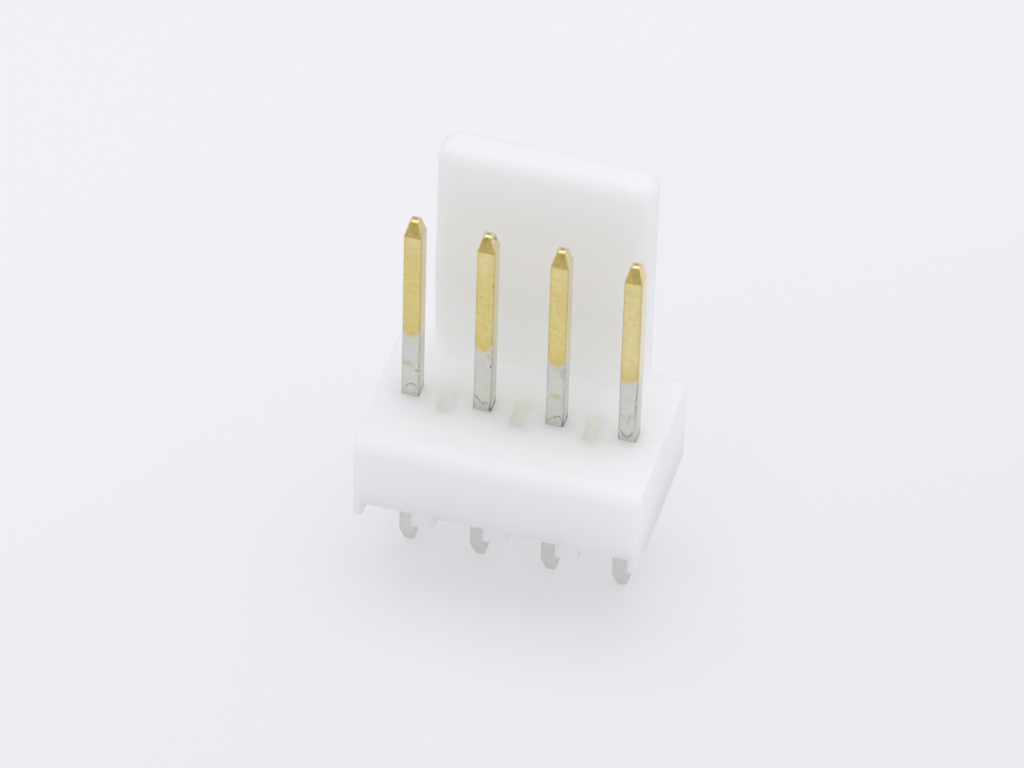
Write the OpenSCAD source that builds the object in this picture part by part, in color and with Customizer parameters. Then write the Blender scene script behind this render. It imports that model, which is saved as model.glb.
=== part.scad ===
// Friction-lock pin header, upright, one row of square pins in a moulded nylon housing.
// X runs along the pin row, Y from the open front to the lock wall, and Z up, away from the board.
// The origin is the middle of the pin row on the board: the ribs under the housing end at Z = 0.
// All sizes are in millimetres.

/* [Pin row] */
// Number of pins
pin_count = 4; // [2:1:12]
// Distance from pin to pin
pitch = 2.54; // [2.2:0.01:5.08]

/* [Pins] */
// Thickness of the square pin
pin_t = 0.64; // [0.5:0.01:0.8]
// Length of the pin above the base
mate_len = 7.8; // [5:0.01:12]
// Length of the tail below the board seat
tail_len = 3.6; // [2:0.01:6]
// Height of the tapered point on the mating end
tip_h = 0.63; // [0.3:0.01:1.2]
// Width of the flat that ends the mating point
tip_flat = 0.32; // [0.1:0.01:0.4]
// Height of the tapered point on the tail
tail_tip_h = 0.6; // [0.3:0.05:1.2]
// Width of the flat that ends the tail
tail_flat = 0.3; // [0.1:0.01:0.4]
// Gap on each side of a pin in its hole, zero for a pressed pin
pin_gap = 0; // [0:0.005:0.05]

/* [Base] */
// Depth of the base, front to back
base_depth = 6.24; // [5:0.01:8]
// Part of that depth behind the pin row
base_back = 3.22; // [2.4:0.01:3.6]
// Length of the base beyond the axis of each end pin
base_end = 1.21; // [1.1:0.01:2.5]
// Height of the base, ribs included
base_h = 3.45; // [2.4:0.01:5]
// Radius of the front top edge of the base
base_edge_r = 0.55; // [0.1:0.05:0.8]

/* [Underside] */
// Width of the wash channel under each pin
channel_w = 1.7; // [1:0.05:2]
// Depth of the wash channels, which is the height of the ribs
channel_h = 0.55; // [0.2:0.05:0.9]

/* [Core pockets] */
// Width of the moulded pocket between two pins
pocket_w = 0.5; // [0.3:0.05:0.8]
// Length of the pocket, front to back
pocket_len = 1.27; // [0.6:0.01:2]
// Depth of the pocket, down from the top of the base
pocket_depth = 0.7; // [0.3:0.05:1.2]
// Radius of the two long edges at the bottom of the pocket
pocket_r = 0.12; // [0.05:0.01:0.14]

/* [Lock wall] */
// Thickness of the wall
wall_t = 1.2; // [0.8:0.05:1.4]
// Height of the wall above the base
wall_h = 9.2; // [7:0.01:12]
// Bare ledge of the base at each end of the wall
wall_ledge = 1.28; // [0.6:0.01:1.6]
// Radius of the two top corners of the wall
wall_corner_r = 0.6; // [0.2:0.05:1]
// Radius of the front top edge of the wall
wall_edge_r = 0.45; // [0.1:0.05:0.7]

/* [Lock ramp] */
// How far the crest of the ramp stands out from the wall
ramp_out = 0.2; // [0.1:0.05:0.4]
// Height of the crest above the base
ramp_crest = 3.6; // [2.5:0.05:4]
// Height of the slope that the plug slides down, above the crest
ramp_lead = 2; // [0.5:0.05:2.5]
// Height of the slope that holds the plug, below the crest
ramp_hold = 1.6; // [0.5:0.05:2]

/* [Hidden] */
// True arcs are drawn with this many sides
$fn = 48;
// Extra length that carries a cut past the face it opens
past = 0.5;
row_len = (pin_count - 1) * pitch;
base_len = row_len + 2 * base_end;
base_front = base_depth - base_back;
wall_w = base_len - 2 * wall_ledge;
wall_front = base_back - wall_t;
wall_top = base_h + wall_h;
pin_top = base_h + mate_len;
hole_w = pin_t + 2 * pin_gap;

// Place of pin number i along the row, counted from the left
function pin_x(i) = (i - 1) * pitch - row_len / 2;

// Extrudes a side view, drawn as depth and height, along the pin row
module along_row(length) {
    rotate([90, 0, 90]) linear_extrude(length, center = true) children();
}

// Extrudes a front view, drawn as width and height, forward from the plane y = back
module forward(depth, back) {
    translate([0, back, 0]) rotate([90, 0, 0]) linear_extrude(depth) children();
}

// The waste of a round edge: a square of side r less the quarter circle in its lower right corner
module edge_waste(r) {
    difference() {
        square(r);
        translate([r, 0]) circle(r);
    }
}

// Side view of the base, with its round front top edge
module base_side() {
    difference() {
        translate([-base_front, 0]) square([base_depth, base_h]);
        translate([-base_front, base_h - base_edge_r]) edge_waste(base_edge_r);
    }
}

// Side view of the wall, rooted in the base, with its round front top edge
module wall_side() {
    difference() {
        translate([wall_front, channel_h]) square([wall_t, wall_top - channel_h]);
        translate([wall_front, wall_top - wall_edge_r]) edge_waste(wall_edge_r);
    }
    ramp_side();
}

// Side view of the blunt ramp that the mating plug slides over, rooted in the wall
module ramp_side() {
    crest_z = base_h + ramp_crest;
    root = wall_front + wall_t / 2;
    polygon([
        [root, crest_z - ramp_hold],
        [wall_front, crest_z - ramp_hold],
        [wall_front - ramp_out, crest_z],
        [wall_front, crest_z + ramp_lead],
        [root, crest_z + ramp_lead]
    ]);
}

// Front view of the wall, with its two round top corners
module wall_face() {
    difference() {
        translate([-wall_w / 2, 0]) square([wall_w, wall_top]);
        for (side = [0, 1])
            mirror([side, 0])
                translate([-wall_w / 2, wall_top - wall_corner_r]) edge_waste(wall_corner_r);
    }
}

module lock_wall() {
    intersection() {
        along_row(wall_w) wall_side();
        forward(wall_t + ramp_out, base_back) wall_face();
    }
}

// Channel across the underside at one pin, and the square hole that grips the pin
module pin_cuts() {
    translate([-channel_w / 2, -base_front - past, -past])
        cube([channel_w, base_depth + 2 * past, channel_h + past]);
    translate([-hole_w / 2, -hole_w / 2, 0])
        cube([hole_w, hole_w, base_h + past]);
}

// Blind pocket between two pins, open at the top
module core_pocket() {
    bottom = base_h - pocket_depth;
    forward(pocket_len, pocket_len / 2)
        difference() {
            translate([-pocket_w / 2, bottom]) square([pocket_w, pocket_depth + past]);
            for (side = [0, 1])
                mirror([side, 0])
                    translate([-pocket_w / 2, bottom + pocket_r]) mirror([0, 1]) edge_waste(pocket_r);
        }
}

module housing() {
    color("ghostwhite")
        difference() {
            union() {
                along_row(base_len) base_side();
                lock_wall();
            }
            for (i = [1 : pin_count])
                translate([pin_x(i), 0, 0]) pin_cuts();
            for (i = [1 : pin_count - 1])
                translate([pin_x(i) + pitch / 2, 0, 0]) core_pocket();
        }
}

// Outline of the pin from the front and from the side: the same taper on all four faces
module pin_outline() {
    w = pin_t / 2;
    polygon([
        [-tail_flat / 2, -tail_len],
        [tail_flat / 2, -tail_len],
        [w, tail_tip_h - tail_len],
        [w, pin_top - tip_h],
        [tip_flat / 2, pin_top],
        [-tip_flat / 2, pin_top],
        [-w, pin_top - tip_h],
        [-w, tail_tip_h - tail_len]
    ]);
}

module pin(i) {
    color("goldenrod")
        translate([pin_x(i), 0, 0])
            intersection() {
                along_row(pin_t) pin_outline();
                forward(pin_t, pin_t / 2) pin_outline();
            }
}

housing();
for (i = [1 : pin_count])
    pin(i);
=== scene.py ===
"""Looks of a friction-lock pin header: moulded nylon housing, square plated pins and a pale studio."""

from collections import namedtuple
from itertools import product
import math

import bmesh
import bpy
from mathutils import Matrix, Vector


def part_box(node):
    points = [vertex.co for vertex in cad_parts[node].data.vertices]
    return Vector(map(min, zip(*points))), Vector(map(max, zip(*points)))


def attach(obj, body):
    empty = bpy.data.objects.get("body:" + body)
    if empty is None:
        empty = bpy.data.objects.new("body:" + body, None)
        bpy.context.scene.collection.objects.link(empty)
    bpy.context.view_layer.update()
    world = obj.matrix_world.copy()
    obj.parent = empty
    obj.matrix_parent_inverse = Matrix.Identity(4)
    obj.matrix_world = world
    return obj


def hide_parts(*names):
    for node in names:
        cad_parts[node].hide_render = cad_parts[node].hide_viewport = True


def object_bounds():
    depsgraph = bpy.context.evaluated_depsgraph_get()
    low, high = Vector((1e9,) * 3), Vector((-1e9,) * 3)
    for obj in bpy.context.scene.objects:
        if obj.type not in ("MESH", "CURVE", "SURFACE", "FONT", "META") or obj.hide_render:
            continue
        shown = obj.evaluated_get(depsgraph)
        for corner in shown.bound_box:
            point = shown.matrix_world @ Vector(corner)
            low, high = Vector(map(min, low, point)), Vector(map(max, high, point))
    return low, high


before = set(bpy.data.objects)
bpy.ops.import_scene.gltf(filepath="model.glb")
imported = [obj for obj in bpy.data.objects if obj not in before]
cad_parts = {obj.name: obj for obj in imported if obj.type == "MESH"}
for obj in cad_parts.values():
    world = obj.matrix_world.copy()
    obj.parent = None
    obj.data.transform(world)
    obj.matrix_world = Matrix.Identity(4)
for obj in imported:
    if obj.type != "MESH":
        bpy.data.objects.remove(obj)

MM = 0.001

# Camera at the photograph's viewing angle, for a picture of 1024 by 768 pixels
VIEW_AZIMUTH = math.radians(14.78)
VIEW_ELEVATION = math.radians(43.44)
VIEW_ROLL = math.radians(-1.71)
VIEW_DISTANCE = 252.6 * MM
VIEW_CENTRE = Vector((-0.274, -0.211, 4.859)) * MM
FOCAL_PIXELS = 7491.7
PICTURE_WIDTH_PIXELS = 1024
SENSOR_WIDTH_MM = 36
NEAREST_SEEN = 10 * MM

# Sizes below are in millimetres. The housing's outer box and the places of the pins come from the frame.
BASE_TOP = 3.45
CHANNEL_WIDTH = 1.7
CHANNEL_TOP = 0.55
POCKET_WIDTH = 0.5
POCKET_LENGTH = 1.27
POCKET_BOTTOM = BASE_TOP - 0.7
WALL_HALF = 3.74
WALL_FRONT = 2.02
RAMP_CREST = BASE_TOP + 3.6
RAMP_OUT = 0.2
RAMP_LEAD = 2.0
RAMP_HOLD = 1.6

# Radii of the moulding's edges
WALL_CORNER = 0.6
WALL_EDGE = 0.45
BASE_EDGE = 0.55
RAMP_EDGE = 0.4
OUTER_EDGE = 0.12
RIB_EDGE = 0.06
POCKET_EDGE = 0.03
POCKET_ROUND = 0.12

# Radii of the pins' edges, and the height above the base at which their points begin
PIN_EDGE = 0.06
TIP_EDGE = 0.10
TAIL_EDGE = 0.14
TIP_START = 7.17

# Numbers of flat strips that make up a round edge
SMALL_STEPS = 4
LARGE_STEPS = 6
CORNER_STEPS = 8

# Angles between two faces. Up to FLAT, or PIN_FLAT on a pin, they are one face. Over SLIGHT they meet at
# an edge, over SHARP at an edge to round, and over SQUARE at nearly a right angle.
FLAT = math.radians(1)
PIN_FLAT = math.radians(0.5)
SLIGHT = math.radians(5)
SHARP = math.radians(40)
SQUARE = math.radians(60)

# Two places closer than NEAR are the same place, and corners of a pin closer than JOINED become one
NEAR = 1e-4
JOINED = 0.001

# Most values of a noise lie between these two
NOISE_LOW = 0.3
NOISE_HIGH = 0.7

# Nylon: two shades of its clouds, the painted shade in the pockets and the lengths over which it fades,
# how far light wanders inside, and the refractive index
MILKY = ((0.946, 0.963, 0.904), (0.961, 0.977, 0.924))
POCKET_SHADE = (0.942, 0.957, 0.88)
POCKET_SHADE_SOFT = 0.1
POCKET_SHADE_REACH = 0.5
NYLON_DEPTH = 3.5
NYLON_REFRACTION = 1.53

# Lower edge of the gold: its softness, its raggedness, and the power of the curve that lifts it beside
# a pin's edges. The gold is darker up to GOLD_LOW_REACH above it.
GOLD_BLUR = 0.17
GOLD_RAGGED = 0.22
GOLD_CURVE = 2.5
GOLD_LOW_REACH = 0.9

# Colours of the gold, of its painted rim shade and painted pale reflection on right sides, of the front
# facets of a tip, streaked and painted darker as a dim reflection, of its cut end, and of the tin
GOLD = ((0.79, 0.63, 0.25), (0.80, 0.71, 0.28))
GOLD_LEMON = (0.75, 0.69, 0.26)
GOLD_SPECK = (0.64, 0.43, 0.15)
GOLD_LOW = (0.69, 0.53, 0.18)
GOLD_RIM_SHADE = (0.50, 0.38, 0.12)
GOLD_SIDE_REFLECTION = (0.88, 0.83, 0.62)
FACET_STREAKS_AND_SHADE = ((0.54, 0.40, 0.135), (0.675, 0.545, 0.185))
CUT_END = ((0.72, 0.67, 0.36), (0.88, 0.85, 0.53))
TIN = ((0.66, 0.66, 0.595), (0.78, 0.78, 0.72))
TIN_SHADE = (0.30, 0.30, 0.29)
TIN_TAIL = (0.86, 0.86, 0.83)
TIN_GRIME = (0.46, 0.46, 0.40)

# Strengths of the painted shade on a whole rim, of the painted reflection on a right side and of the
# tint of a tail, and how rough the two metals are
GOLD_RIM_SHADE_SHARE = 0.35
GOLD_SIDE_REFLECTION_SHARE = 0.55
TIN_TAIL_SHARE = 0.45
GOLD_ROUGHNESS = 0.20
TIN_ROUGHNESS = 0.34

# Heights above the base: the tin turns rosy from the first, and painted shade darkens its foot between
# the others
ROSY_FROM = -0.5
FOOT_SHADE_FROM = -0.3
FOOT_SHADE_TO = 0.5

# Height over which the colours of a tip come in
TIP_BLEND = 0.03

# Shares of a pin's half width at which its rim with painted shade and its front face begin, and at which
# they are full
RIM_FROM = 0.72
RIM_FULL = 0.98
FRONT_FROM = 0.75
FRONT_FULL = 0.95

# Part of a face's normal along an axis from which the face counts as turned that way, and fully does
SIDE_TURNED = 0.8
TIP_TURNED = 0.75
FULLY_TURNED = 0.95

# Shares of a mark's size within which it has its full strength, and how far marks waver up and down
LINE_FULL_REACH = 0.8
LINE_FULL_WIDTH = 0.3
SMUDGE_FULL = 0.2
CHIP_FULL = 0.5
MARK_WAVER = 0.07

# Colours of the wear, and of a painted pale sheen on the upper gold and painted glints on a chipped tip
DARK = (0.10, 0.11, 0.06)
GREY = (0.13, 0.125, 0.12)
BROWN = (0.16, 0.10, 0.07)
RED = (0.26, 0.14, 0.11)
PLUM = (0.46, 0.40, 0.39)
OLIVE = (0.56, 0.57, 0.30)
MOSS = (0.34, 0.36, 0.18)
PALE = (0.92, 0.90, 0.74)
# Painted sheen that pales the upper gold of a pin's front
CREAM_SHEEN = (0.86, 0.79, 0.48)
# Painted highlight: bright glints on a chipped tip
GLINT = (0.98, 0.92, 0.58)
COOL = (0.74, 0.75, 0.78)
ROSE = (0.72, 0.60, 0.56)

# Wear on the pins, with painted sheen and glints: x and y are from the pin's axis, and z is above the
# base.
# A line on the front face is the curve z + slope * u + bend * u * u, where u is the distance from x and
# runs from -reach to reach. A smudge is a soft oval on the front face. A chip is a ragged ball that
# colours any face it meets.
Line = namedtuple("Line", "x z slope bend reach width strength colour")
Smudge = namedtuple("Smudge", "x z wide tall strength colour")
Chip = namedtuple("Chip", "x y z size colour")

# The gold of a pin ends at gold_end above the base in the middle of a face, and gold_rise higher at the
# face's edges. Its end is tilted, up by gold_tilt at the right and down by as much at the left.
Pin = namedtuple("Pin", "gold_end gold_rise gold_tilt lines smudges chips", defaults=[()])
PINS = {
    "pin_1": Pin(
        gold_end=2.70, gold_rise=0.36, gold_tilt=0.0,
        lines=[
            Line(0.02, 0.55, 0.3, -4.5, 0.19, 0.040, 0.70, GREY),
            Line(0.25, 0.44, 0.2, 0.0, 0.06, 0.025, 0.55, GREY),
            Line(-0.08, 1.44, -0.25, 0.0, 0.22, 0.030, 0.45, MOSS),
        ],
        smudges=[
            Smudge(0.24, 1.19, 0.13, 0.09, 0.60, GREY),
            Smudge(-0.12, 1.46, 0.32, 0.24, 0.55, OLIVE),
            Smudge(0.0, 0.23, 0.20, 0.26, 0.55, COOL),
            Smudge(-0.24, 2.73, 0.10, 0.16, 0.60, ROSE),
            # Painted sheen on the upper gold
            Smudge(0.0, 6.95, 0.45, 0.80, 0.35, CREAM_SHEEN),
        ],
    ),
    "pin_2": Pin(
        gold_end=2.69, gold_rise=0.40, gold_tilt=0.03,
        lines=[
            Line(-0.22, 0.61, -0.3, -9.0, 0.09, 0.028, 0.70, GREY),
            Line(-0.06, 0.39, -1.0, 1.2, 0.17, 0.026, 0.65, BROWN),
            Line(0.13, 0.41, 0.4, -16.0, 0.09, 0.028, 0.60, BROWN),
            Line(0.26, 0.25, 9.0, 0.0, 0.03, 0.030, 0.70, BROWN),
        ],
        smudges=[
            Smudge(0.262, 2.09, 0.035, 0.13, 0.90, GREY),
            Smudge(0.20, 2.53, 0.17, 0.20, 0.45, PLUM),
            Smudge(-0.20, 1.32, 0.10, 0.14, 0.35, ROSE),
            Smudge(0.27, 0.13, 0.07, 0.12, 0.75, BROWN),
            Smudge(0.05, 0.19, 0.22, 0.16, 0.40, ROSE),
            # Painted sheen on the upper gold
            Smudge(0.0, 6.85, 0.45, 1.10, 0.45, CREAM_SHEEN),
            Smudge(0.285, 5.78, 0.035, 0.24, 0.35, BROWN),
            Smudge(-0.12, 5.17, 0.09, 0.08, 0.22, BROWN),
        ],
        chips=[
            # Painted glints on the chipped tip
            Chip(0.11, -0.19, 7.65, 0.08, GLINT),
            Chip(0.18, -0.15, 7.61, 0.09, GLINT),
            Chip(0.22, -0.04, 7.56, 0.08, GLINT),
            Chip(0.20, 0.0, 7.65, 0.09, DARK),
            Chip(0.22, 0.11, 7.56, 0.09, DARK),
            Chip(-0.02, -0.17, 7.73, 0.07, BROWN),
            Chip(0.32, -0.20, 0.06, 0.14, BROWN),
            Chip(0.32, 0.0, 0.08, 0.14, GREY),
            Chip(0.32, 0.20, 0.10, 0.12, GREY),
        ],
    ),
    "pin_3": Pin(
        gold_end=2.69, gold_rise=0.46, gold_tilt=0.03,
        lines=[
            Line(-0.12, 0.32, 0.8, 0.0, 0.20, 0.026, 0.60, RED),
            Line(0.12, 0.47, 0.1, -9.0, 0.13, 0.045, 0.75, RED),
            Line(0.06, 1.40, 0.15, 0.0, 0.22, 0.028, 0.35, MOSS),
            Line(0.28, 0.25, 9.0, 0.0, 0.03, 0.030, 0.60, GREY),
        ],
        smudges=[
            Smudge(-0.28, 1.38, 0.10, 0.12, 1.0, PALE),
            Smudge(-0.02, 1.36, 0.40, 0.20, 0.55, OLIVE),
            Smudge(0.22, 2.43, 0.14, 0.36, 0.45, PLUM),
            Smudge(-0.06, 2.55, 0.22, 0.12, 0.30, OLIVE),
            Smudge(-0.05, 0.15, 0.26, 0.14, 0.40, ROSE),
            # Painted sheen on the upper gold
            Smudge(0.0, 6.85, 0.45, 0.95, 0.40, CREAM_SHEEN),
        ],
        chips=[
            Chip(0.32, -0.20, 0.06, 0.14, GREY),
            Chip(0.32, 0.0, 0.08, 0.14, GREY),
            Chip(0.32, 0.20, 0.10, 0.12, GREY),
        ],
    ),
    "pin_4": Pin(
        gold_end=2.70, gold_rise=0.13, gold_tilt=0.05,
        lines=[
            Line(0.0, 0.20, 0.1, 5.2, 0.245, 0.036, 0.80, GREY),
            Line(0.255, 1.65, 25.0, 0.0, 0.03, 0.024, 0.60, GREY),
            Line(-0.18, 1.12, -0.9, 0.0, 0.14, 0.060, 0.18, GREY),
            Line(0.04, 0.98, 4.0, 0.0, 0.07, 0.060, 0.22, BROWN),
        ],
        smudges=[
            Smudge(0.10, 1.12, 0.22, 0.16, 0.30, PLUM),
            Smudge(-0.26, 1.47, 0.06, 0.10, 0.35, GREY),
            # Painted sheen over most of the gold
            Smudge(0.0, 6.0, 0.50, 2.60, 0.45, CREAM_SHEEN),
            Smudge(0.0, 3.9, 0.50, 1.30, 0.45, CREAM_SHEEN),
        ],
    ),
}

# Floor: pale paper that partly glows to the eye. The glow grows towards the back left, from
# FLOOR_GLOW_REACH millimetres on this side of the origin to as many beyond it.
FLOOR_HALF_METRES = 0.6
FLOOR_PAPER = ((0.82, 0.82, 0.84), (0.84, 0.84, 0.86))
FLOOR_GLOW = ((0.85, 0.85, 0.915), (0.985, 0.98, 1.0))
FLOOR_GLOW_SHARE = 0.42
FLOOR_GLOW_TOWARDS = (-0.7, 0.7, 0)
FLOOR_GLOW_REACH = 25

# Sky: its strength all round, and what each direction adds to it. The ends are those of the pin row.
SKY = 0.535
SKY_ENDS = 0.44
SKY_RIGHT = 0.07
SKY_FRONT = 0.04
SKY_REAR = 0.20
SKY_TOP = 0.22
HORIZON = (0.99, 0.975, 0.94)
ZENITH = (0.947, 0.952, 1.04)

# Round patches of the sky: the cosines are of the angles at which a patch begins and is full
Patch = namedtuple("Patch", "towards rim_cosine full_cosine change")
DIM_PATCH = Patch((-0.19, 0.70, 0.69), 0.90, 0.985, -0.38)
BRIGHT_PATCH = Patch((-0.19, -0.65, 0.67), 0.965, 0.99, 0.45)

# Soft light overhead, in metres
LAMP_PLACE = Vector((-0.01, 0.03, 0.36))
LAMP_SIZE = 0.3
LAMP_WATTS = 0.286
LAMP_COLOUR = (0.935, 0.93, 1.0)


class Graph:
    """A node tree, built by calls that take values or sockets alike."""

    def __init__(self, tree):
        self.tree = tree
        tree.nodes.clear()

    def add(self, kind, inputs=None, **settings):
        """Adds a node, sets its properties, then its inputs by name or number."""
        node = self.tree.nodes.new(kind)
        for name, value in settings.items():
            setattr(node, name, value)
        for key, value in (inputs or {}).items():
            if isinstance(value, bpy.types.NodeSocket):
                self.tree.links.new(value, node.inputs[key])
            else:
                node.inputs[key].default_value = value
        return node

    def math(self, operation, *values):
        """One arithmetic step on numbers or sockets."""
        return self.add("ShaderNodeMath", dict(enumerate(values)), operation=operation).outputs[0]

    def times(self, first, *others):
        """The product of numbers or sockets."""
        for other in others:
            first = self.math("MULTIPLY", first, other)
        return first

    def absolute(self, value):
        """A number without its sign."""
        return self.math("ABSOLUTE", value)

    def vector(self, operation, *values, output="Vector"):
        """One step on vectors, which gives a vector or a value."""
        node = self.add("ShaderNodeVectorMath", dict(enumerate(values)), operation=operation)
        return node.outputs[output]

    def split(self, vector):
        """The three parts of a vector."""
        return self.add("ShaderNodeSeparateXYZ", {0: vector}).outputs

    def ramp(self, value, low, high, to_low=0.0, to_high=1.0):
        """A smooth step of value from low to high."""
        inputs = {"Value": value, "From Min": low, "From Max": high, "To Min": to_low, "To Max": to_high}
        return self.add("ShaderNodeMapRange", inputs, interpolation_type="SMOOTHSTEP").outputs[0]

    def spread(self, noise, to_low=0.0, to_high=1.0):
        """A noise whose usual values are stretched from to_low to to_high."""
        return self.ramp(noise, NOISE_LOW, NOISE_HIGH, to_low, to_high)

    def mix(self, factor, *colours):
        """A mix of two colours, each a socket or three numbers."""
        low, high = [c if isinstance(c, bpy.types.NodeSocket) else (*c, 1.0) for c in colours]
        return self.add("ShaderNodeMix", {0: factor, 6: low, 7: high}, data_type="RGBA").outputs[2]

    def noise(self, vector, size, detail=2.0):
        """Noise from 0 to 1 whose spots are about as large as size."""
        inputs = {"Vector": vector, "Scale": 1 / size, "Detail": detail}
        return self.add("ShaderNodeTexNoise", inputs).outputs[0]

    def bump(self, height, depth, strength):
        """A normal from a height of 0 to 1 that stands for depth millimetres."""
        inputs = {"Height": height, "Distance": depth * MM, "Strength": strength}
        return self.add("ShaderNodeBump", inputs).outputs[0]

    def finish(self, inputs):
        """The surface, from the principled shader's inputs."""
        shader = self.add("ShaderNodeBsdfPrincipled", inputs)
        self.add("ShaderNodeOutputMaterial", {"Surface": shader.outputs[0]})


def new_material(name):
    """An empty material and its graph, with the place in the frame in millimetres."""
    material = bpy.data.materials.new(name)
    material.use_nodes = True
    graph = Graph(material.node_tree)
    metres = graph.add("ShaderNodeTexCoord").outputs["Object"]
    return material, graph, graph.vector("MULTIPLY", metres, (1 / MM, 1 / MM, 1 / MM))


def nylon():
    """Natural nylon: milky, slightly clear, with a fine moulded grain, and painted shade inside the
    pockets.
    """
    material, graph, place = new_material("nylon")
    clouds = graph.noise(place, size=2.5)
    grain = graph.noise(place, size=0.06, detail=4.0)
    flow = graph.noise(graph.vector("MULTIPLY", place, (0.3, 1.0, 1.0)), size=0.8)
    x, y, z = graph.split(place)
    # Painted shade: a darker, yellower tint inside the pockets
    pocket_shade = graph.times(
        graph.ramp(graph.absolute(y), POCKET_LENGTH, POCKET_LENGTH / 2),
        graph.ramp(graph.absolute(x), WALL_HALF, WALL_HALF - POCKET_SHADE_REACH),
        graph.ramp(z, BASE_TOP, BASE_TOP - POCKET_SHADE_SOFT),
        graph.ramp(z, POCKET_BOTTOM - POCKET_SHADE_REACH, POCKET_BOTTOM - POCKET_SHADE_SOFT),
    )
    graph.finish({
        "Base Color": graph.mix(pocket_shade, graph.mix(clouds, *MILKY), POCKET_SHADE),
        "Roughness": graph.spread(flow, 0.55, 0.65),
        "Subsurface Weight": 1.0,
        "Subsurface Radius": (1.0, 1.0, 0.85),
        "Subsurface Scale": NYLON_DEPTH * MM,
        "IOR": NYLON_REFRACTION,
        "Normal": graph.bump(grain, depth=0.004, strength=0.4),
    })
    return material


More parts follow.
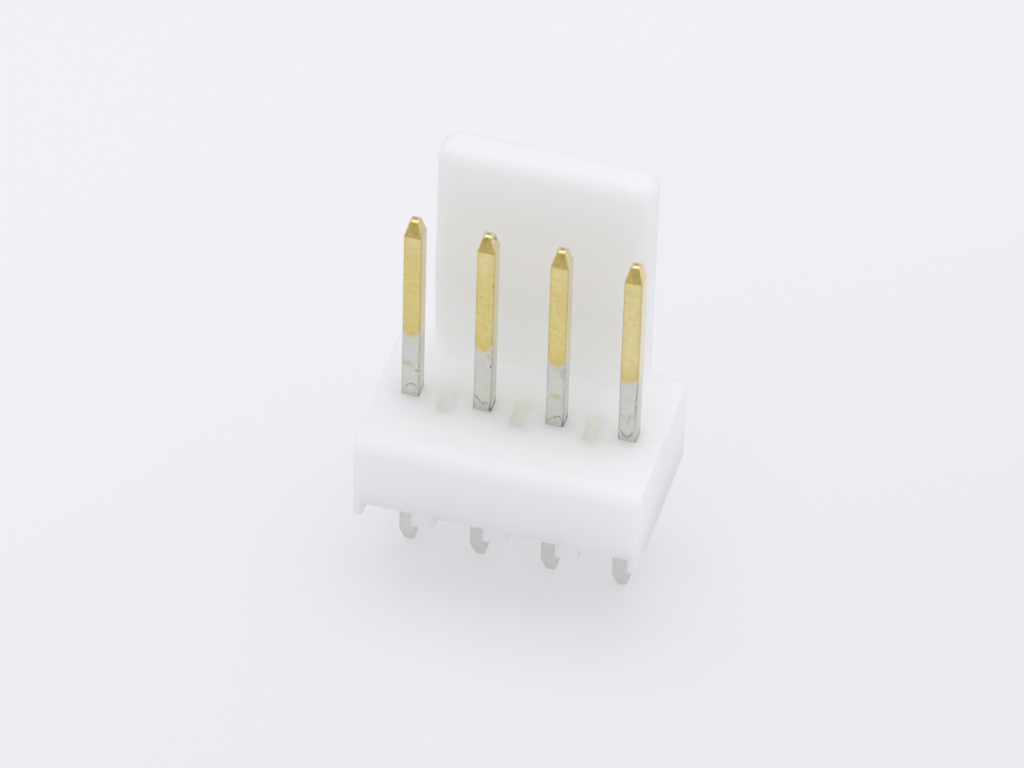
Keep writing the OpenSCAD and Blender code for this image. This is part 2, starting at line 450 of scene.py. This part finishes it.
class Plating:
    """The material of one square pin: gold over the mating end, satin tin below it, its wear, and
    painted shade, sheen, reflections and glints.
    """

    def __init__(self, pin, pin_x, half):
        self.pin = pin
        self.pin_x = pin_x
        self.half = half
        self.material, graph, self.place = new_material("plating")
        self.graph = graph
        x, self.depth, z = graph.split(self.place)
        self.across = graph.math("SUBTRACT", x, pin_x)
        self.height = graph.math("SUBTRACT", z, BASE_TOP)
        self.facing = graph.split(graph.add("ShaderNodeNewGeometry").outputs["Normal"])
        # From 0 in the middle of a face to 1 at its edges
        nearest = graph.math("MINIMUM", graph.absolute(self.across), graph.absolute(self.depth))
        self.beside = graph.math("DIVIDE", nearest, half)
        # The rims, where painted shade darkens both the gold and the tin
        self.rim = graph.ramp(self.beside, RIM_FROM, RIM_FULL)
        self.on_tip = graph.ramp(self.height, TIP_START, TIP_START + TIP_BLEND)
        self.specks = graph.noise(self.place, size=0.05)
        self.spots = graph.noise(self.place, size=0.12, detail=3.0)
        self.mottle = graph.noise(self.place, size=0.25, detail=3.0)
        self.tint = graph.noise(self.place, size=0.45)

    def along_pin(self, squeeze, size, detail):
        """Noise drawn out into streaks along the pin."""
        squeezed = self.graph.vector("MULTIPLY", self.place, (1.0, 1.0, squeeze))
        return self.graph.noise(squeezed, size, detail)

    def gold_level(self):
        """The height above the base, less what the gold's lower edge is raised here."""
        graph = self.graph
        ragged = graph.times(graph.math("SUBTRACT", self.spots, 0.5), GOLD_RAGGED)
        curve = graph.times(graph.math("POWER", self.beside, GOLD_CURVE), self.pin.gold_rise)
        slant = graph.times(self.across, self.pin.gold_tilt / self.half)
        raised = graph.math("ADD", graph.math("ADD", curve, slant), ragged)
        return graph.math("SUBTRACT", self.height, raised)

    def gold(self, level):
        """Mottled gold, darker low down, with painted shade at its rims, a painted pale reflection on
        its right side, and a tip with streaked front facets painted darker as a dim reflection.
        """
        graph = self.graph
        colour = graph.mix(graph.spread(self.mottle), *GOLD)
        colour = graph.mix(graph.ramp(self.tint, 0.45, 0.75, 0.0, 0.6), colour, GOLD_LEMON)
        colour = graph.mix(graph.ramp(self.specks, 0.50, 0.75, 0.0, 0.6), colour, GOLD_SPECK)
        low_end = graph.ramp(level, self.pin.gold_end + GOLD_LOW_REACH, self.pin.gold_end)
        low_end = graph.times(low_end, graph.spread(self.spots, 0.25, 0.9))
        colour = graph.mix(low_end, colour, GOLD_LOW)
        # Painted shade along the rims
        colour = graph.mix(graph.times(self.rim, GOLD_RIM_SHADE_SHARE), colour, GOLD_RIM_SHADE)
        # Painted reflection: faces turned to the right are paler
        right = graph.ramp(self.facing[0], SIDE_TURNED, FULLY_TURNED, 0.0, GOLD_SIDE_REFLECTION_SHARE)
        colour = graph.mix(right, colour, GOLD_SIDE_REFLECTION)
        # Painted reflection: the front facets of a tip are streaked and painted darker
        front_facet_shade = graph.times(self.on_tip, graph.ramp(self.facing[1], -TIP_TURNED, -FULLY_TURNED))
        streaks = self.along_pin(0.08, size=0.06, detail=2.0)
        colour = graph.mix(front_facet_shade, colour, graph.mix(graph.spread(streaks), *FACET_STREAKS_AND_SHADE))
        cut_end = graph.times(self.on_tip, graph.ramp(self.facing[2], TIP_TURNED, FULLY_TURNED))
        return graph.mix(cut_end, colour, graph.mix(self.spots, *CUT_END))

    def tin(self):
        """Mottled tin, with painted shade at its foot and rims, and a paler, specked tail."""
        graph = self.graph
        colour = graph.mix(self.mottle, *TIN)
        rosy = graph.ramp(self.tint, 0.5, 0.75, 0.0, 0.5)
        rosy = graph.times(rosy, graph.ramp(self.height, ROSY_FROM, 0.0))
        colour = graph.mix(rosy, colour, ROSE)
        # Painted shade where the pin meets the nylon, deeper at its rims and sides
        foot_shade = graph.ramp(self.height, FOOT_SHADE_TO, 0.0)
        foot_shade = graph.times(foot_shade, graph.ramp(self.height, FOOT_SHADE_FROM, 0.0))
        # Painted shade along the rims, broken up by a noise
        rim_shade = graph.times(self.rim, graph.ramp(self.mottle, 0.35, 0.65, 0.08, 0.50))
        sideways = graph.ramp(graph.absolute(self.facing[0]), SIDE_TURNED, FULLY_TURNED)
        foot_shade_strength = graph.math("MULTIPLY_ADD", graph.math("MAXIMUM", self.rim, sideways), 0.30, 0.20)
        colour = graph.mix(graph.math("MULTIPLY_ADD", foot_shade, foot_shade_strength, rim_shade), colour, TIN_SHADE)
        tail = graph.ramp(self.height, CHANNEL_TOP - BASE_TOP, -BASE_TOP)
        colour = graph.mix(graph.times(tail, TIN_TAIL_SHARE), colour, TIN_TAIL)
        grime = graph.times(tail, graph.ramp(self.specks, 0.48, 0.72, 0.0, 0.2))
        return graph.mix(grime, colour, TIN_GRIME)

    def line_mask(self, line, height):
        """One on a thin curved line of the front face, falling to nothing beside it and at its ends."""
        graph = self.graph
        run = graph.math("SUBTRACT", self.across, line.x)
        bent = graph.math("MULTIPLY_ADD", run, line.bend, line.slope)
        curve = graph.math("MULTIPLY_ADD", run, bent, line.z)
        steep = graph.math("MULTIPLY_ADD", run, 2 * line.bend, line.slope)
        stretch = graph.math("SQRT", graph.math("MULTIPLY_ADD", steep, steep, 1.0))
        gap = graph.math("DIVIDE", graph.absolute(graph.math("SUBTRACT", height, curve)), stretch)
        ends = graph.ramp(graph.absolute(run), line.reach, LINE_FULL_REACH * line.reach)
        return graph.times(graph.ramp(gap, line.width, LINE_FULL_WIDTH * line.width), ends)

    def smudge_mask(self, smudge, height):
        """One in the middle of a soft oval on the front face, falling to nothing at its rim."""
        graph = self.graph
        wide = graph.math("DIVIDE", graph.math("SUBTRACT", self.across, smudge.x), smudge.wide)
        tall = graph.math("DIVIDE", graph.math("SUBTRACT", height, smudge.z), smudge.tall)
        away = graph.math("SQRT", graph.math("MULTIPLY_ADD", tall, tall, graph.times(wide, wide)))
        return graph.ramp(away, 1.0, SMUDGE_FULL)

    def chip_mask(self, chip):
        """One in the middle of a ball, falling to nothing at its rim."""
        graph = self.graph
        middle = (self.pin_x + chip.x, chip.y, BASE_TOP + chip.z)
        gap = graph.vector("LENGTH", graph.vector("SUBTRACT", self.place, middle), output="Value")
        return graph.ramp(gap, chip.size, CHIP_FULL * chip.size)

    def add_wear_and_sheen(self, colour):
        """The colour with the pin's smudges and painted sheen, then its lines, then its chips and
        painted glints laid over it.
        """
        graph = self.graph
        front = graph.ramp(self.depth, -FRONT_FROM * self.half, -FRONT_FULL * self.half)
        front = graph.times(front, graph.math("SUBTRACT", 1.0, self.on_tip))
        waver = graph.math("MULTIPLY_ADD", self.spots, MARK_WAVER, -MARK_WAVER / 2)
        wavy = graph.math("ADD", self.height, waver)
        patchy = graph.times(graph.ramp(self.mottle, 0.25, 0.6, 0.5, 1.0), front)
        for smudge in self.pin.smudges:
            mask = graph.times(patchy, smudge.strength, self.smudge_mask(smudge, wavy))
            colour = graph.mix(mask, colour, smudge.colour)
        for line in self.pin.lines:
            mask = graph.times(patchy, line.strength, self.line_mask(line, wavy))
            colour = graph.mix(mask, colour, line.colour)
        flakes = graph.ramp(graph.noise(self.place, size=0.03), 0.46, 0.56)
        for chip in self.pin.chips:
            colour = graph.mix(graph.times(self.chip_mask(chip), flakes), colour, chip.colour)
        return colour

    def build(self):
        """The finished material, with fine drawing marks along the pin."""
        graph = self.graph
        level = self.gold_level()
        share = graph.ramp(level, self.pin.gold_end - GOLD_BLUR, self.pin.gold_end + GOLD_BLUR)
        drawn = self.along_pin(0.05, size=0.03, detail=3.0)
        graph.finish({
            "Base Color": self.add_wear_and_sheen(graph.mix(share, self.tin(), self.gold(level))),
            "Metallic": 1.0,
            "Roughness": graph.ramp(share, 0.0, 1.0, TIN_ROUGHNESS, GOLD_ROUGHNESS),
            "Normal": graph.bump(drawn, depth=0.0015, strength=0.6),
        })
        return self.material


def in_band(value, centres, width):
    """Whether a value lies in one of the bands about these centres."""
    return any(abs(value - centre) < width / 2 + NEAR for centre in centres)


def band_sides(centres, width):
    """The places of both sides of each band about these centres."""
    return {round(centre + side * width / 2, 4) for centre in centres for side in (-1, 1)}


def lies_at(edge, axis, *values):
    """Whether an edge lies at one of these places along an axis."""
    return any(all(abs(vert.co[axis] - value) < NEAR for vert in edge.verts) for value in values)


def middle_of(edge):
    """The point halfway along an edge."""
    return (edge.verts[0].co + edge.verts[1].co) / 2


class Moulding:
    """The housing's mesh in millimetres: boxes joined face to face, with a radius for each edge."""

    def __init__(self, low, high, pins):
        self.half = high.x
        self.front = low.y
        self.back = high.y
        self.top = high.z
        self.pins = pins
        self.middles = [(a + b) / 2 for a, b in zip(pins, pins[1:])]
        self.ramp_steps = (RAMP_CREST - RAMP_HOLD, RAMP_CREST, RAMP_CREST + RAMP_LEAD)
        self.mesh = bmesh.new()

    def filled(self, x, y, z):
        """Whether there is nylon at this place inside the housing's box."""
        if z > BASE_TOP:
            return abs(x) < WALL_HALF and y > WALL_FRONT
        channel = z < CHANNEL_TOP and in_band(x, self.pins, CHANNEL_WIDTH)
        pocket = in_band(x, self.middles, POCKET_WIDTH) and abs(y) < POCKET_LENGTH / 2
        return not (channel or (pocket and z > POCKET_BOTTOM))

    def planes(self):
        """The places along X, Y and Z at which the housing's flat faces lie."""
        x = {-self.half, self.half} | band_sides([0], 2 * WALL_HALF)
        x |= band_sides(self.pins, CHANNEL_WIDTH) | band_sides(self.middles, POCKET_WIDTH)
        y = {self.front, self.back, WALL_FRONT} | band_sides([0], POCKET_LENGTH)
        z = {0, CHANNEL_TOP, POCKET_BOTTOM, BASE_TOP, self.top, *self.ramp_steps}
        return sorted(x), sorted(y), sorted(z)

    def join_boxes(self):
        """Draws the skin of all filled boxes between the planes, with the ramp's crest pulled out."""
        planes = self.planes()
        mesh = self.mesh
        corners = {}

        def corner(cell):
            if cell not in corners:
                place = Vector([plane[n] for plane, n in zip(planes, cell)])
                if abs(place.y - WALL_FRONT) < NEAR and abs(place.z - RAMP_CREST) < NEAR:
                    place.y -= RAMP_OUT
                corners[cell] = mesh.verts.new(place)
            return corners[cell]

        def full(cell):
            if any(n < 0 or n > len(plane) - 2 for plane, n in zip(planes, cell)):
                return False
            return self.filled(*[(plane[n] + plane[n + 1]) / 2 for plane, n in zip(planes, cell)])

        for cell in filter(full, product(*[range(len(plane) - 1) for plane in planes])):
            for axis, side in product(range(3), (0, 1)):
                beside = list(cell)
                beside[axis] += 2 * side - 1
                if full(beside):
                    continue
                ring = []
                for a, b in ((0, 0), (1, 0), (1, 1), (0, 1)):
                    index = list(cell)
                    index[axis] += side
                    index[(axis + 1) % 3] += a
                    index[(axis + 2) % 3] += b
                    ring.append(corner(tuple(index)))
                mesh.faces.new(ring if side else ring[::-1])
        mesh.normal_update()
        bmesh.ops.dissolve_limit(mesh, angle_limit=FLAT, verts=mesh.verts, edges=mesh.edges)

    def round_off(self, wanted, radius, segments):
        """Turns the edges that are wanted, by their bend and middle, into arcs."""
        edges = [e for e in self.mesh.edges if wanted(e, e.calc_face_angle(0), middle_of(e))]
        bmesh.ops.bevel(
            self.mesh, geom=edges, offset=radius, segments=segments, profile=0.5, affect="EDGES"
        )
        self.mesh.normal_update()

    def round_main_edges(self):
        """Rounds the wall's top corners, the ramp, and the front rims of the wall and the base."""
        def top_corner(edge, bend, middle):
            return lies_at(edge, 2, self.top) and lies_at(edge, 0, -WALL_HALF, WALL_HALF)

        def ramp_crease(edge, bend, middle):
            return lies_at(edge, 2, *self.ramp_steps) and middle.y < WALL_FRONT + NEAR and bend < SQUARE

        def wall_rim(edge, bend, middle):
            return middle.z > BASE_TOP + NEAR and middle.y < WALL_FRONT + NEAR and bend > SQUARE

        def base_rim(edge, bend, middle):
            return lies_at(edge, 2, BASE_TOP) and lies_at(edge, 1, self.front)

        self.round_off(top_corner, WALL_CORNER, CORNER_STEPS)
        self.round_off(ramp_crease, RAMP_EDGE, SMALL_STEPS)
        self.round_off(wall_rim, WALL_EDGE, LARGE_STEPS)
        self.round_off(base_rim, BASE_EDGE, LARGE_STEPS)

    def in_pocket(self, vert):
        """Whether a corner lies in or on one of the pockets."""
        across = in_band(vert.co.x, self.middles, POCKET_WIDTH)
        return across and abs(vert.co.y) < POCKET_LENGTH / 2 + NEAR

    def radius(self, edge):
        """The radius of one edge, or nothing where it stays as it is."""
        if edge.calc_face_angle(0) < SHARP:
            return 0
        if middle_of(edge).z < CHANNEL_TOP + NEAR:
            return RIB_EDGE if edge.is_convex else 0
        if all(self.in_pocket(vert) for vert in edge.verts):
            return POCKET_ROUND if lies_at(edge, 2, POCKET_BOTTOM) else POCKET_EDGE
        return OUTER_EDGE

    def weigh_edges(self):
        """Gives each edge that is still sharp its radius, as a share of the modifier's width."""
        weight = self.mesh.edges.layers.float.new("bevel_weight_edge")
        for edge in self.mesh.edges:
            edge[weight] = self.radius(edge) / OUTER_EDGE
            edge.smooth = edge[weight] > 0 or edge.calc_face_angle(0) < SHARP
        for face in self.mesh.faces:
            face.smooth = True

    def build(self, name):
        """The finished object in metres."""
        self.join_boxes()
        self.round_main_edges()
        self.weigh_edges()
        self.mesh.transform(Matrix.Scale(MM, 4))
        data = bpy.data.meshes.new(name)
        self.mesh.to_mesh(data)
        moulding = bpy.data.objects.new(name, data)
        bpy.context.scene.collection.objects.link(moulding)
        add_rounding(moulding, OUTER_EDGE).use_clamp_overlap = False
        return moulding


def add_rounding(piece, radius):
    """Modifiers that round each edge by its weight, up to this radius, and keep faces looking flat."""
    bevel = piece.modifiers.new("round edges", "BEVEL")
    bevel.limit_method = "WEIGHT"
    bevel.width = radius * MM
    bevel.segments = SMALL_STEPS
    piece.modifiers.new("normals", "WEIGHTED_NORMAL").keep_sharp = True
    return bevel


def wire_edges():
    """Nodes that keep the slight edges of the pins' facets sharp, and weigh the others for rounding."""
    tree = bpy.data.node_groups.new("wire edges", "GeometryNodeTree")
    for way in ("INPUT", "OUTPUT"):
        tree.interface.new_socket("Geometry", in_out=way, socket_type="NodeSocketGeometry")
    graph = Graph(tree)
    solid = graph.add("NodeGroupInput").outputs[0]
    angle = graph.add("GeometryNodeInputMeshEdgeAngle").outputs["Unsigned Angle"]
    sharp = graph.math("GREATER_THAN", angle, SHARP)
    slight = graph.math("SUBTRACT", graph.math("GREATER_THAN", angle, SLIGHT), sharp)
    inputs = {"Mesh": solid, "Remove Custom": True, "Edge Sharpness": slight, "Face Sharpness": False}
    shaded = graph.add("GeometryNodeSetMeshNormal", inputs).outputs[0]
    height = graph.split(graph.add("GeometryNodeInputPosition").outputs[0])[2]
    low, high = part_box("pin_1")
    middle = (low.z + high.z) / 2
    reach = (high.z - low.z) / 2 - NEAR * MM
    at_tip = graph.math("GREATER_THAN", height, middle + reach)
    at_tail = graph.math("LESS_THAN", height, middle - reach)
    weight = graph.math("MULTIPLY_ADD", at_tip, (TIP_EDGE - PIN_EDGE) / TAIL_EDGE, PIN_EDGE / TAIL_EDGE)
    weight = graph.math("MULTIPLY_ADD", at_tail, (TAIL_EDGE - PIN_EDGE) / TAIL_EDGE, weight)
    inputs = {"Geometry": shaded, "Name": "bevel_weight_edge", "Value": graph.times(weight, sharp)}
    stored = graph.add("GeometryNodeStoreNamedAttribute", inputs, data_type="FLOAT", domain="EDGE")
    graph.add("NodeGroupOutput", {0: stored.outputs[0]})
    return tree


def dress(node, material, edges):
    """Gives a solid its material, and rounds its edges without touching its mesh."""
    node.data.materials.clear()
    node.data.materials.append(material)
    node.modifiers.new("joined faces", "WELD").merge_threshold = JOINED * MM
    flat = node.modifiers.new("flat faces", "DECIMATE")
    flat.decimate_type = "DISSOLVE"
    flat.angle_limit = PIN_FLAT
    node.modifiers.new("edges to round", "NODES").node_group = edges
    add_rounding(node, TAIL_EDGE)


def floor_paper():
    """Pale paper that keeps a soft shadow, and partly glows to the eye and in reflections."""
    material, graph, place = new_material("floor")
    across = graph.vector("DOT_PRODUCT", place, FLOOR_GLOW_TOWARDS, output="Value")
    white = graph.mix(graph.ramp(across, -FLOOR_GLOW_REACH, FLOOR_GLOW_REACH), *FLOOR_GLOW)
    pale = graph.mix(graph.noise(place, size=30), *FLOOR_PAPER)
    inputs = {"Base Color": pale, "Roughness": 0.45, "Specular IOR Level": 0.3}
    matt = graph.add("ShaderNodeBsdfPrincipled", inputs)
    glow = graph.add("ShaderNodeEmission", {"Color": white, "Strength": 1.0})
    path = graph.add("ShaderNodeLightPath").outputs
    seen = graph.math("MAXIMUM", path["Is Camera Ray"], path["Is Glossy Ray"])
    seen = graph.math("MAXIMUM", seen, path["Is Transmission Ray"])
    inputs = {0: graph.times(seen, FLOOR_GLOW_SHARE), 1: matt.outputs[0], 2: glow.outputs[0]}
    surface = graph.add("ShaderNodeMixShader", inputs)
    graph.add("ShaderNodeOutputMaterial", {"Surface": surface.outputs[0]})
    return material


def add_floor(height):
    """A plain square sheet under the tails."""
    ring = ((-1, -1), (1, -1), (1, 1), (-1, 1))
    corners = [(x * FLOOR_HALF_METRES, y * FLOOR_HALF_METRES, height) for x, y in ring]
    mesh = bpy.data.meshes.new("floor")
    mesh.from_pydata(corners, [], [(0, 1, 2, 3)])
    mesh.materials.append(floor_paper())
    sheet = bpy.data.objects.new("floor", mesh)
    bpy.context.scene.collection.objects.link(sheet)


def add_lamp():
    """A square soft light overhead that faces the origin."""
    light = bpy.data.lights.new("overhead", "AREA")
    light.size = LAMP_SIZE
    light.energy = LAMP_WATTS
    light.color = LAMP_COLOUR
    lamp = bpy.data.objects.new("overhead", light)
    lamp.location = LAMP_PLACE
    lamp.rotation_euler = (-LAMP_PLACE).to_track_quat("-Z", "Y").to_euler()
    bpy.context.scene.collection.objects.link(lamp)


def add_world():
    """Light from all round, with more from above, behind and both ends, and with two patches."""
    world = bpy.data.worlds.new("studio")
    world.use_nodes = True
    graph = Graph(world.node_tree)
    direction = graph.add("ShaderNodeTexCoord").outputs["Generated"]
    x, y, z = graph.split(direction)
    rise = graph.math("MAXIMUM", z, 0.0)

    def share(patch):
        """One in the full part of a round patch of the sky, falling to nothing at its rim."""
        towards = Vector(patch.towards).normalized()
        cosine = graph.vector("DOT_PRODUCT", direction, towards, output="Value")
        return graph.ramp(cosine, patch.rim_cosine, patch.full_cosine)

    parts = (
        (graph.times(x, x), SKY_ENDS),
        (x, SKY_RIGHT),
        (graph.math("MAXIMUM", graph.times(y, -1.0), 0.0), SKY_FRONT),
        (graph.math("MAXIMUM", y, 0.0), SKY_REAR),
        (rise, SKY_TOP),
    )
    strength = SKY
    for part, gain in parts:
        strength = graph.math("MULTIPLY_ADD", part, gain, strength)
    kept = graph.math("MULTIPLY_ADD", share(DIM_PATCH), DIM_PATCH.change, 1.0)
    strength = graph.times(strength, kept)
    strength = graph.math("MULTIPLY_ADD", share(BRIGHT_PATCH), BRIGHT_PATCH.change, strength)
    colour = graph.mix(rise, HORIZON, ZENITH)
    light = graph.add("ShaderNodeBackground", {"Color": colour, "Strength": strength})
    graph.add("ShaderNodeOutputWorld", {"Surface": light.outputs[0]})
    bpy.context.scene.world = world


def add_camera():
    """The photograph's view: the camera looks along its own axis at VIEW_CENTRE, rolled a little."""
    sine = math.sin(VIEW_AZIMUTH)
    cosine = math.cos(VIEW_AZIMUTH)
    flat = math.cos(VIEW_ELEVATION)
    back = Vector((sine * flat, -cosine * flat, math.sin(VIEW_ELEVATION)))
    level = Vector((cosine, sine, 0))
    right = level * math.cos(VIEW_ROLL) - back.cross(level) * math.sin(VIEW_ROLL)
    up = back.cross(right)
    data = bpy.data.cameras.new("camera")
    data.sensor_width = SENSOR_WIDTH_MM
    data.lens = FOCAL_PIXELS * SENSOR_WIDTH_MM / PICTURE_WIDTH_PIXELS
    data.clip_start = NEAREST_SEEN
    camera = bpy.data.objects.new("camera", data)
    place = Matrix((right, up, back)).transposed().to_4x4()
    place.translation = VIEW_CENTRE + back * VIEW_DISTANCE
    camera.matrix_world = place
    bpy.context.scene.collection.objects.link(camera)
    bpy.context.scene.camera = camera


cad_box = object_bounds()
bpy.context.scene.view_settings.view_transform = "Standard"

add_camera()
edges = wire_edges()
pin_places = []
for name, pin in PINS.items():
    low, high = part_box(name)
    pin_x = (low.x + high.x) / 2 / MM
    pin_width = (high.x - low.x) / MM
    pin_places.append(pin_x)
    dress(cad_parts[name], Plating(pin, pin_x, pin_width / 2).build(), edges)
low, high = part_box("housing")
housing = Moulding(low / MM, high / MM, pin_places).build("moulding")
housing.data.materials.append(nylon())
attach(housing, "root")
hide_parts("housing")

add_floor(cad_box[0].z)
add_world()
add_lamp()
